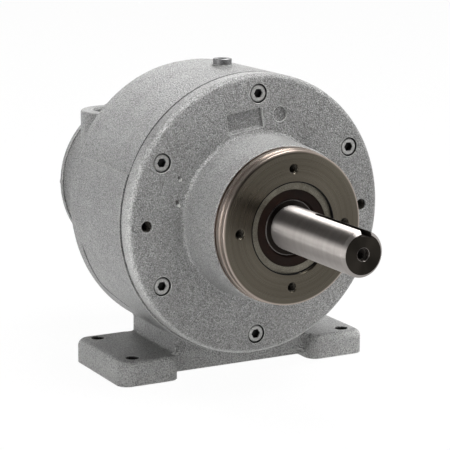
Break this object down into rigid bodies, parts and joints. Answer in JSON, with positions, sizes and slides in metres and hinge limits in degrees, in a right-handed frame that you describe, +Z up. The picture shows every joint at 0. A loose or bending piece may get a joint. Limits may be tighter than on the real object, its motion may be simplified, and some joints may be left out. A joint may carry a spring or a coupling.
{
  "type": "air vane motor",
  "caption": "Foot-mounted rotary air motor with a keyed output shaft, round cast body, machined pilot hub and two upright air ports behind.",
  "frame": {"origin": "centre of the four foot bolt holes, on the base plane under the feet", "axes": "-Y along the shaft, out of the drive end; +Z up; +X to the right as seen from the shaft end"},
  "size_m": [0.1664, 0.2782, 0.1812],
  "materials": {
    "cast_paint": "silver grey paint on a pebbled casting; the hub is bare machined iron",
    "plug_steel": "plain steel",
    "gasket_fibre": "dark fibre sheet",
    "seal_steel": "satin sheet steel",
    "seal_rubber": "dark brown rubber",
    "spring_steel": "dark spring steel",
    "screw_steel": "grey steel",
    "ground_steel": "ground steel",
    "rotor_iron": "machined iron",
    "cage_brass": "machined brass",
    "vane_composite": "laminated resin",
    "bearing_steel": "polished steel"
  },
  "bodies": {
    "housing": {"body_casting": "cast_paint", "drive_end_plate": "cast_paint", "dead_end_plate": "cast_paint", "rear_cover": "cast_paint", "top_plug": "plug_steel", "drive_end_gasket": "gasket_fibre", "dead_end_gasket": "gasket_fibre", "cover_gasket": "gasket_fibre", "seal_case": "seal_steel", "seal_lip": "seal_rubber", "seal_garter_spring": "spring_steel", "front_bearing_outer_ring": "bearing_steel", "rear_bearing_outer_ring": "bearing_steel", "bearing_preload_spring": "spring_steel", "drive_end_screws": "screw_steel", "dead_end_screws": "screw_steel", "cover_screws": "screw_steel", "dowel_pins": "ground_steel"},
    "rotating_group": {"shaft": "ground_steel", "rotor": "rotor_iron", "vane_1": "vane_composite", "vane_2": "vane_composite", "vane_3": "vane_composite", "vane_4": "vane_composite", "front_bearing_inner_ring": "bearing_steel", "rear_bearing_inner_ring": "bearing_steel", "shaft_retaining_ring": "spring_steel"},
    "front_ball_set": {"front_bearing_cage": "cage_brass", "front_bearing_balls": "bearing_steel"},
    "rear_ball_set": {"rear_bearing_cage": "cage_brass", "rear_bearing_balls": "bearing_steel"}
  },
  "joints": [
    {"name": "shaft_spin", "type": "hinge", "parent": "housing", "child": "rotating_group", "pos_m": [0, 0, 0.09525], "axis": [0, -1, 0], "continuous": true},
    {"name": "front_cage_spin", "type": "hinge", "parent": "housing", "child": "front_ball_set", "pos_m": [0, 0, 0.09525], "axis": [0, -1, 0], "continuous": true},
    {"name": "rear_cage_spin", "type": "hinge", "parent": "housing", "child": "rear_ball_set", "pos_m": [0, 0, 0.09525], "axis": [0, -1, 0], "continuous": true}
  ],
  "couplings": [
    {"joint": "front_cage_spin", "follows": "shaft_spin", "ratio": 0.38823},
    {"joint": "rear_cage_spin", "follows": "shaft_spin", "ratio": 0.3961}
  ]
}
